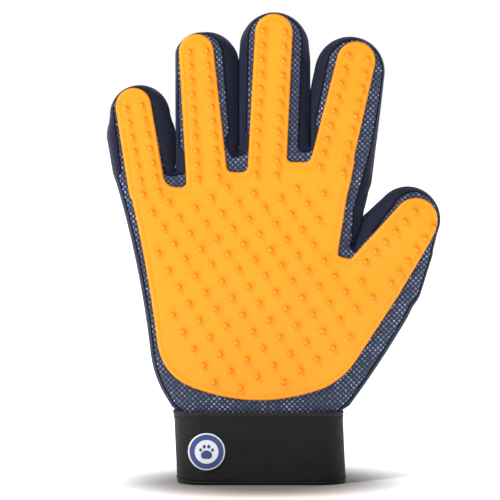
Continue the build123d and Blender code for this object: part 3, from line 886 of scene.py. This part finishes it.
def fabric():
    """Mesh front, knitted gussets and back: front and back share one triangulation and their rim."""
    low, high = (-90.0, FABRIC_LOW_Z), (93.0, 234.0)
    grid = Grid(glove_field, low, high, 0.5)
    lines = rows_inside(grid, FABRIC_ROWS)
    seam_lines = [(resample(p, closed, 1.5), closed)
                  for p, closed in Grid(seam_field, low, high, 0.5).contours(0.0) if len(p) > 40]
    lines += seam_lines
    lines += fold_lines(glove_field, "fabric", 1.6)
    outline_ends = lines[0][0][[0, -1], 0]
    hem_x = np.linspace(outline_ends.min(), outline_ends.max(), HEM_POINTS)
    lines.append((np.column_stack([hem_x, np.full(HEM_POINTS, FABRIC_LOW_Z)]), False))
    xz, triangles = triangulate(glove_field, lines, 2.5, low, high)

    x, z = xz.T
    middle = xz[triangles].mean(axis=1)
    count = len(xz)
    rim = [e for e in rim_edges(triangles) if max(z[e[0]], z[e[1]]) > FABRIC_LOW_Z + 0.05]
    on_rim = np.zeros(count, bool)
    on_rim[np.unique(rim)] = True
    moved_x = close_gaps(x, z)
    front = np.column_stack([moved_x, np.where(on_rim, SIDE_Y, front_y(x, z)), z])
    back = np.column_stack([moved_x, np.where(on_rim, SIDE_Y, back_y(x, z)), z])
    to_back = np.where(on_rim, np.arange(count), np.arange(count) + count)
    points = np.vstack([front, back])
    back_triangles = to_back[triangles][:, ::-1]
    inner = points - point_normals(points, np.vstack([triangles, back_triangles])) * FABRIC_THICK

    depth = np.concatenate([glove_field(x, z)] * 2)
    flat_uv = np.column_stack([points[:, 0], points[:, 2]])
    side = np.where(np.arange(2 * count) < count, -1.0, 1.0)
    ribs_uv = np.column_stack([points[:, 1] + side * 0.6 * depth, points[:, 2] + 0.3 * points[:, 0]])

    labels = part_at(middle[:, 0], middle[:, 1], "fabric")
    is_mesh = seam_field(middle[:, 0], middle[:, 1]) > 0
    is_back = glove_field(middle[:, 0], middle[:, 1]) > BACK_SEAM_AT
    for label in LABELS:
        here = labels == label
        name = part_name(label)
        gusset = np.vstack([triangles[here & ~is_mesh], back_triangles[here & ~is_back]])
        gusset_nodes = [f"{name}_gusset"] if label else PALM_GUSSETS
        for kind, chosen, uv, skin, nodes, slot in (
            ("mesh", triangles[here & is_mesh], flat_uv, MESH, [f"{name}_mesh_panel"], "mesh_navy"),
            ("back", back_triangles[here & is_back], flat_uv, KNIT, [f"{name}_back_panel"], "knit_navy"),
            ("gusset", gusset, ribs_uv, GUSSET, gusset_nodes, "gusset_navy"),
        ):
            solid, faces, used = close_sheet(points, inner, chosen)
            piece = make_mesh(f"{name}_{kind}_fabric", solid, faces, np.vstack([uv[used], uv[used]]), skin)
            attach(piece, label, "fabric")
            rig.replaces(piece, *nodes)
            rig.slot(piece, slot)
    seams("front_piping", seam_lines, lambda x, z: front_y(x, z) + 1.3 * smooth(pad_field(x, z) + 1.1))
    seams("back_piping", rows_inside(grid, [(BACK_SEAM_AT, 1.5)]), back_y)


def runs_by_part(line, closed, zone):
    """A line cut where it passes from one part to another, as (label, points)."""
    if closed:
        line = np.vstack([line, line[:1]])
    middle = (line[1:] + line[:-1]) / 2
    labels = part_at(middle[:, 0], middle[:, 1], zone)
    breaks = np.nonzero(np.diff(labels))[0] + 1
    for run in np.split(np.arange(len(labels)), breaks):
        yield int(labels[run[0]]), line[run[0]:run[-1] + 2]


def seams(name, lines, surface):
    """A rolled seam along each line; surface gives y from (x, z)."""
    tubes = {}
    for line, closed in lines:
        for label, run in runs_by_part(line, closed, "fabric"):
            x, z = run.T
            path = np.column_stack([close_gaps(x, z), surface(x, z), z])
            tubes.setdefault(label, []).append(tube(path, PIPING_R))
    for label, found in tubes.items():
        attach(sewing(f"{part_name(label)}_{name}", found, PIPING, "gusset_navy"), label, "fabric")


# ---- silicone pad ----
def nub_points():
    """Two rows on each finger, then a V-shaped grid over the palm where there is room for it."""
    points = []
    for finger in FINGERS:
        (x0, z0, w0), (x1, z1, w1) = finger.rows
        length = math.hypot(x1 - x0, z1 - z0)
        for row in range(finger.count):
            t = row / (finger.count - 1)
            width = w0 + t * (w1 - w0)
            for half in (-width, width):
                points.append((x0 + t * (x1 - x0) + half * (z0 - z1) / length,
                               z0 + t * (z1 - z0) + half * (x1 - x0) / length))
    taken = np.array(points + NUB_GRID_BARE)
    reach = range(-12, 13)
    for i in reach:
        for j in reach:
            step = NUB_GRID_DOWN if j > 0 else NUB_GRID_UP
            x = NUB_GRID_START[0] + i * NUB_GRID_ALONG[0] + abs(j) * step[0]
            z = NUB_GRID_START[1] + i * NUB_GRID_ALONG[1] + abs(j) * step[1]
            clear = np.hypot(taken[:, 0] - x, taken[:, 1] - z).min() > NUB_SPACING
            if clear and pad_field(np.array([x]), np.array([z]))[0] > NUB_EDGE_MARGIN:
                points.append((x, z))
    return np.array(points)


def pad():
    """One moulding over palm, fingers and thumb, cut where its parts bend."""
    low, high = (-80.0, 36.0), (93.0, 234.0)
    nubs = nub_points()
    grid = Grid(pad_field, low, high, 0.5)
    lines = rows_inside(grid, PAD_ROWS) + fold_lines(pad_field, "pad", 1.2)
    for x, z in nubs:
        lines += [(circle(x, z, r, NUB_SIDES, 0.11 * k), True) for k, (r, _) in enumerate(NUB_PROFILE)]
    xz, triangles = triangulate(pad_field, lines, 2.3, low, high, loose=nubs)
    x, z = xz.T
    d = np.maximum(pad_field(x, z), 0)

    nub_distance = nearest(nubs)
    away = np.array([nub_distance(a, b) for a, b in xz])
    nub = np.interp(away, *zip((0.0, NUB_TOP), *NUB_PROFILE[::-1]), right=0.0)
    # painted shade round each nub's foot
    nub_painted_shade = np.interp(away, *zip(*NUB_PAINTED_SHADE))

    rim = rounded_rim(d, PAD_EDGE)
    groove = np.exp(-((d - GROOVE_AT) / 0.4) ** 2)
    lie = sway(x, z)
    front = PAD_FRONT_Y + rim + 0.2 * groove - nub + lie
    outer = np.column_stack([x, front, z])
    inner = np.column_stack([x, np.full(len(x), FRONT_Y + 0.05) + lie, z])
    # painted shade: darker round the nubs, in the groove and along the pad's rounded rim
    shade = np.clip(nub_painted_shade + 0.3 * groove * (nub < 0.01) + 0.45 * (1 - smooth(d / 0.5)), 0, 1)
    middle = xz[triangles].mean(axis=1)
    labels = part_at(middle[:, 0], middle[:, 1], "pad")
    for label in LABELS:
        solid, faces, used = close_sheet(outer, inner, triangles[labels == label])
        uv = np.vstack([xz[used], xz[used]])
        # painted shade of one half on the hidden inner sheet
        painted_shade_tone = np.concatenate([shade[used], np.full(len(used), 0.5)])
        piece = make_mesh(f"{part_name(label)}_silicone_pad", solid, faces, uv, SILICONE, painted_shade_tone, 60.0)
        attach(piece, label, "pad")
        nodes = [f"{part_name(label)}_pad"] if label else ["palm_pad", "thumb_base_pad"]
        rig.replaces(piece, *nodes)
        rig.slot(piece, "pad_silicone")
    pad_stitches(grid)


def pad_stitches(grid):
    """Stitches of three steps with one left free, along the groove."""
    tubes = {}
    for line, _ in rows_inside(grid, [(GROOVE_AT, 0.8)]):
        for first in range(0, len(line) - 3, 4):
            run = line[first:first + 4]
            label = int(part_at(*run.mean(axis=0), "pad"))
            x, z = run.T
            path = np.column_stack([x, PAD_FRONT_Y + 0.12 + sway(x, z), z])
            path[[0, -1], 1] += 0.25
            tubes.setdefault(label, []).append(tube(path, PAD_THREAD_R))
    for label, found in tubes.items():
        attach(sewing(f"{part_name(label)}_pad_stitches", found, STITCH, "pad_silicone"), label, "pad")


# ---- wrist ----
def wrist_outline(spacing, slit=None):
    """Points and outward directions round the cuff in (x, y), from behind the wrist and back."""
    hx, hy, r = CUFF_WIDTH / 2 - CUFF_CORNER, CUFF_DEPTH / 2 - CUFF_CORNER, CUFF_CORNER
    points = [(0.0, hy + r)]
    for cx, cy, first in ((hx, hy, 90), (hx, -hy, 0), (-hx, -hy, -90), (-hx, hy, -180)):
        for a in np.radians(first - np.linspace(0, 90, 19)):
            points.append((cx + r * math.cos(a), cy + r * math.sin(a)))
    points.append((0.0, hy + r))
    points = np.array(points)
    if slit:
        points[0, 0], points[-1, 0] = slit[1], slit[0]
    line = resample(points, slit is None, spacing)
    core = np.column_stack([np.clip(line[:, 0], -hx, hx), np.clip(line[:, 1], -hy, hy)])
    out = line - core
    return line, out / np.linalg.norm(out, axis=1)[:, None]


def lean(x, z):
    """The cuff leans a little to the thumb's side towards its lower edge."""
    return x + 0.8 - 1.6 * z / WRIST_Z


def wrap(name, profile, spacing, skin, slit=None):
    """A closed profile of (outwards, z) points carried round the wrist."""
    line, out = wrist_outline(spacing, slit)
    sides = len(profile)
    profile = np.array(profile)
    x = line[:, None, 0] + out[:, None, 0] * profile[None, :, 0]
    y = line[:, None, 1] + out[:, None, 1] * profile[None, :, 0]
    z = np.broadcast_to(profile[None, :, 1], x.shape)
    slack = 0.22 * np.sin(line[:, None, 0] / 9.0 + 1.3) * np.cos(z / 13.0)
    y = y + slack * np.sign(line[:, None, 1]) * (np.abs(out[:, None, 1]) > 0.9)
    points = np.stack([lean(x, z), y, z], axis=2).reshape(-1, 3)
    faces = [face[:1] + face[:0:-1] for face in ring_faces(len(line), sides, slit is None)]
    along = np.concatenate([[0], np.cumsum(np.hypot(*np.diff(line, axis=0).T))])
    uv = np.column_stack([np.repeat(along, sides), points[:, 2]])
    return make_mesh(name, points, faces, uv, skin)


def ribbed_profile(low, high, thick, pitch, relief):
    """Outer side with ribs, inner side plain."""
    rows = np.arange(low + 0.5, high - 0.4, pitch / 4)
    ribs = [(-relief * (0.5 - 0.5 * math.cos(2 * math.pi * z / pitch)), z) for z in rows]
    plain = [(-thick, z) for z in np.linspace(high - 0.5, low + 0.5, 12)]
    return [(-0.35, low + 0.05), *ribs, (-0.35, high - 0.05),
            (-thick + 0.3, high - 0.05), *plain, (-thick + 0.3, low + 0.05)]


def wrist_stitches(name, z, radius, slit=None, out=0.1, length=2.2, gap=1.1, spacing=0.55):
    line, outward = wrist_outline(spacing, slit)
    step = int(round((length + gap) / spacing))
    used = int(round(length / spacing)) + 1
    tubes = []
    for first in range(0, len(line) - used, step):
        run = slice(first, first + used)
        offset = np.full(used, out)
        offset[[0, -1]] -= 0.3
        x = line[run, 0] + outward[run, 0] * offset
        y = line[run, 1] + outward[run, 1] * offset
        path = np.column_stack([lean(x, z), y, np.full(used, z)])
        tubes.append(tube(path, radius))
    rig.ride(sewing(name, tubes, BLACK_THREAD, "elastic_black", (1, 1, 0), (0, 0, 1)), "palm")


def cuff_front_y(x):
    """The cuff's palm side, flat and then round at its corners."""
    corner = CUFF_WIDTH / 2 - CUFF_CORNER
    over = np.clip(np.abs(x) - corner, 0, CUFF_CORNER)
    return -(CUFF_DEPTH / 2 - CUFF_CORNER) - np.sqrt(CUFF_CORNER ** 2 - over ** 2)


def plate(name, field, low, high, front, back, skin, levels, spacing=1.0, cell=0.25):
    """A closed plate over the inside of the field; front and back give y from (x, z, distance inside)."""
    lines = rows_inside(Grid(field, low, high, cell), [(level, spacing) for level in levels])
    xz, triangles = triangulate(field, lines, spacing * 1.6, low, high)
    x, z = xz.T
    d = np.maximum(field(x, z), 0)
    outer = np.column_stack([x, front(x, z, d), z])
    inner = np.column_stack([x, back(x, z, d), z])
    if outer[:, 1].mean() > inner[:, 1].mean():
        triangles = triangles[:, ::-1]
    points, faces, used = close_sheet(outer, inner, triangles)
    return make_mesh(name, points, faces, np.vstack([xz[used], xz[used]]), skin)


def badge():
    """A printed disc with a plain paw mark."""
    bx, bz = BADGE

    def disc(radius):
        return lambda x, z: radius - np.hypot(x - bx, z - bz)

    def ring(x, z):
        away = np.hypot(x - bx, z - bz)
        return np.minimum(BADGE_R - 0.75 - away, away - (BADGE_R - 3.3))

    def paw(x, z):
        field = 2.0 - np.hypot((x - bx) * 0.8, z - bz + 1.3)
        for dx in (-1.2, 1.2):
            field = joined(field, 1.3 - np.hypot(x - bx - dx, z - bz + 2.0), 1.0)
        for dx, dz, r in ((-2.9, 0.9, 0.85), (-1.1, 2.5, 0.95), (1.1, 2.5, 0.95), (2.9, 0.9, 0.85)):
            field = np.maximum(field, r - np.hypot((x - bx - dx) * 1.15, z - bz - dz))
        return field

    low, high = (bx - BADGE_R - 1, bz - BADGE_R - 1), (bx + BADGE_R + 1, bz + BADGE_R + 1)
    rim = 0.4
    base = plate("badge_disc", disc(BADGE_R), low, high,
                 lambda x, z, d: cuff_front_y(x) - 0.62 + rounded_rim(d, rim),
                 lambda x, z, d: cuff_front_y(x) + 0.3, PRINT_WHITE, (0.0, 0.05, 0.15, 0.4), 0.9)
    pieces = [base]
    for name, field in (("badge_ring", ring), ("badge_paw", paw)):
        pieces.append(plate(name, field, low, high,
                            lambda x, z, d: cuff_front_y(x) - 0.74 + rounded_rim(d, 0.12),
                            lambda x, z, d: cuff_front_y(x) - 0.45, PRINT_BLUE, (0.0, 0.04, 0.12), 0.5, 0.12))
    for piece in pieces:
        settle(piece, "palm", "badge_print")
    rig.replaces(base, "badge")


def cuff():
    """Elastic band with its slit, lining, binding tape and two rows of stitches."""
    band = wrap("cuff_elastic", ribbed_profile(0.0, BINDING_Z + 0.6, 2.0, 1.05, 0.22), 1.3, ELASTIC, SLIT)
    lining = wrap("cuff_inner_lining", [(-2.05, 0.6), (-2.05, BINDING_Z), (-2.4, BINDING_Z + 0.4),
                                        (-2.8, BINDING_Z), (-2.8, 17.0), (-2.8, 0.6), (-2.4, 0.2)],
                  1.6, LINING)
    turn = np.radians(np.linspace(-90, 90, 9))
    bead = [(-0.35 + 0.75 * math.cos(a), 34.35 + 1.05 * math.sin(a)) for a in turn]
    binding = wrap("wrist_binding_tape", bead + [(-1.5, 35.4), (-1.5, 33.3)], 1.3, BINDING)
    settle(band, "palm", "elastic_black", "cuff_band")
    settle(lining, "palm", "lining_black", "cuff_lining")
    settle(binding, "palm", "binding_black", "wrist_binding")
    wrist_stitches("cuff_top_stitches", 32.4, BLACK_THREAD_R, SLIT)
    wrist_stitches("cuff_hem_stitches", 2.6, HEM_THREAD_R, SLIT)


def strap():
    """Webbing strap behind the wrist, sewn on at one end and closed by a hook and a loop patch."""
    def lie(x):
        """Middle of the webbing: flat on the patches, then down to where it is sewn on."""
        return 18.55 - 1.5 * smooth((x - 18.5) / 6)

    field = box_field((-24.0, 5.0), (26.3, 29.0), 3.0)
    webbing = plate("strap_webbing", field, (-26, 3), (28, 31),
                    lambda x, z, d: lie(x) + 0.95 - rounded_rim(d, 0.7) + 0.3 * smooth((-18.5 - x) / 0.8)
                    - 0.15 * np.exp(-((np.abs(z - 17) - 10.2) / 0.4) ** 2),
                    lambda x, z, d: lie(x) - 0.85 + rounded_rim(d, 0.5), WEBBING,
                    (0.0, 0.05, 0.2, 0.7, 1.4, 1.8, 2.2), 1.0)
    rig.blend(webbing, "palm", "strap", (0.0195, 0.0196, 0.017), (0.0145, 0.0196, 0.017))
    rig.replaces(webbing, "strap_base", "wrist_strap")
    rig.slot(webbing, "strap_black")

    loop = plate("loop_pile_patch", box_field((-24.0, 6.0), (-7.6, 28.0), 1.5), (-26, 4), (-6, 30),
                 lambda x, z, d: 16.85 - rounded_rim(d, 0.5) + 0.1 * ripple(x, z, 1.6, 2.0),
                 lambda x, z, d: np.full(x.shape, 15.9), LOOP_PILE, (0.0, 0.1, 0.5), 0.9)
    settle(loop, "palm", "loop_black", "loop_patch")
    hook = plate("hook_tape", box_field((-23.6, 6.2), (-8.0, 27.8), 1.5), (-26, 4), (-6, 30),
                 lambda x, z, d: 17.0 + rounded_rim(d, 0.3) + 0.05 * ripple(x, z, 0.9, 6.0),
                 lambda x, z, d: np.full(x.shape, 17.85), HOOKS, (0.0, 0.08, 0.3), 0.9)
    settle(hook, "strap", "hook_black", "hook_patch")

    a, b, c, d = (19.5, 7.5), (25.0, 7.5), (25.0, 26.5), (19.5, 26.5)
    tubes = []
    for corners in ((a, b, c, d, a), (a, c), (d, b)):
        line = resample(np.array(corners), False, 0.7)
        for first in range(0, len(line) - 3, 4):
            x, z = line[first:first + 4].T
            path = np.column_stack([x, lie(x) + 1.02, z])
            path[[0, -1], 1] -= 0.25
            tubes.append(tube(path, BLACK_THREAD_R))
    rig.ride(sewing("strap_box_stitches", tubes, BLACK_THREAD, "strap_black", (1, 0, 0), (0, 0, 1)), "palm")
    tubes = []
    for x in (-19.2, -22.6):
        for z in np.arange(7.5, 26.0, 3.0):
            path = np.array([(x, 19.75, z), (x, 19.95, z + 0.5), (x, 19.95, z + 1.6), (x, 19.75, z + 2.1)])
            tubes.append(tube(path, BLACK_THREAD_R))
    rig.ride(sewing("strap_hem_stitches", tubes, BLACK_THREAD, "strap_black", (0, 0, 1), (1, 0, 0)), "strap")


# ---- floor, light and camera, in metres ----
FLOOR_Z = -0.0002
AIM = (0.0, 0.0, 0.12)
CAMERA_AIM = (-0.00486, 0.0, 0.1138)
CAMERA_AWAY = 1.5
CAMERA_RISE = 2.5          # degrees
PICTURE_SIZE = 0.24315     # what the picture spans at the palm
PALM_AHEAD = 0.012


def floor():
    """A white disc with a painted shadow, darkest where the cuff stands on it."""
    mesh = bpy.data.meshes.new("studio_floor")
    rings = [0.3, 1.0, 4.0, 20.0]
    points = [(0.0, 0.0, FLOOR_Z)]
    faces = []
    sides = 48
    for r in rings:
        points += [(x, y, FLOOR_Z) for x, y in circle(0.0, 0.0, r, sides)]
    for m in range(sides):
        faces.append((0, 1 + m, 1 + (m + 1) % sides))
        for k in range(len(rings) - 1):
            a, b = 1 + k * sides, 1 + (k + 1) * sides
            faces.append((a + m, b + m, b + (m + 1) % sides, a + (m + 1) % sides))
    mesh.from_pydata(points, [], faces)
    s = Shader("studio_white")
    place = s.add("TexCoord").outputs["Object"]
    cloud = s.noise(place, 0.5)
    away = s.add("VectorMath", {0: place}, operation="LENGTH").outputs["Value"]
    white = s.blend(cloud, (0.90, 0.90, 0.90), (0.93, 0.93, 0.93))
    # painted shadow: grey round the middle where the cuff stands, white by 7.5 cm; the glow that keeps the rest of the
    # floor white fades out over it
    colour = s.blend(s.ramp(away, 0.03, 0.075), (0.32, 0.32, 0.32), white)
    mesh.materials.append(s.finish(colour, 0.6, None, 0.0, Emission_Color=(1, 1, 1),
                                   Emission_Strength=s.ramp(away, 0.045, 0.11)))
    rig.stage(new_object("studio_floor", mesh))


def look(obj, place, aim):
    obj.location = place
    obj.rotation_euler = (aim - place).to_track_quat("-Z", "Y").to_euler()


def area_light(name, place, size, power):
    light = bpy.data.lights.new(name, "AREA")
    light.shape = "DISK"
    light.size = size
    light.energy = power
    look(new_object(name, light), Vector(place), Vector(AIM))


def studio():
    """White backdrop; the light itself is softer than the backdrop looks."""
    world = bpy.context.scene.world = bpy.data.worlds.new("studio")
    world.use_nodes = True
    nodes, links = world.node_tree.nodes, world.node_tree.links
    strength = nodes.new("ShaderNodeMapRange")
    links.new(nodes.new("ShaderNodeLightPath").outputs["Is Camera Ray"], strength.inputs[0])
    strength.inputs[3].default_value = 0.3      # as light
    strength.inputs[4].default_value = 1.0      # as seen
    nodes["Background"].inputs[0].default_value = (1.0, 1.0, 1.0, 1)
    links.new(strength.outputs[0], nodes["Background"].inputs[1])
    area_light("key", (-0.8, -0.75, 1.05), 0.24, 14.0)
    area_light("fill", (1.2, -0.8, 0.4), 0.9, 1.0)
    area_light("rim_left", (-1.0, 0.7, 0.6), 0.5, 3.5)
    area_light("rim_right", (1.0, 0.7, 0.7), 0.5, 3.5)


def camera():
    data = bpy.data.cameras.new("camera")
    obj = new_object("camera", data)
    data.sensor_width = 36.0
    data.lens = data.sensor_width * (CAMERA_AWAY - PALM_AHEAD) / PICTURE_SIZE
    rise = math.radians(CAMERA_RISE)
    away = Vector((0.0, -math.cos(rise), math.sin(rise)))
    look(obj, Vector(CAMERA_AIM) + away * CAMERA_AWAY, Vector(CAMERA_AIM))
    bpy.context.scene.camera = obj
    bpy.context.scene.view_settings.view_transform = "Standard"


fabric()
pad()
cuff()
badge()
strap()
floor()
studio()
camera()

with open("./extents.json", "w") as out_file:
    json.dump({"cad": CAD_BOX, "visual": [list(corner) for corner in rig.bounds()]}, out_file)
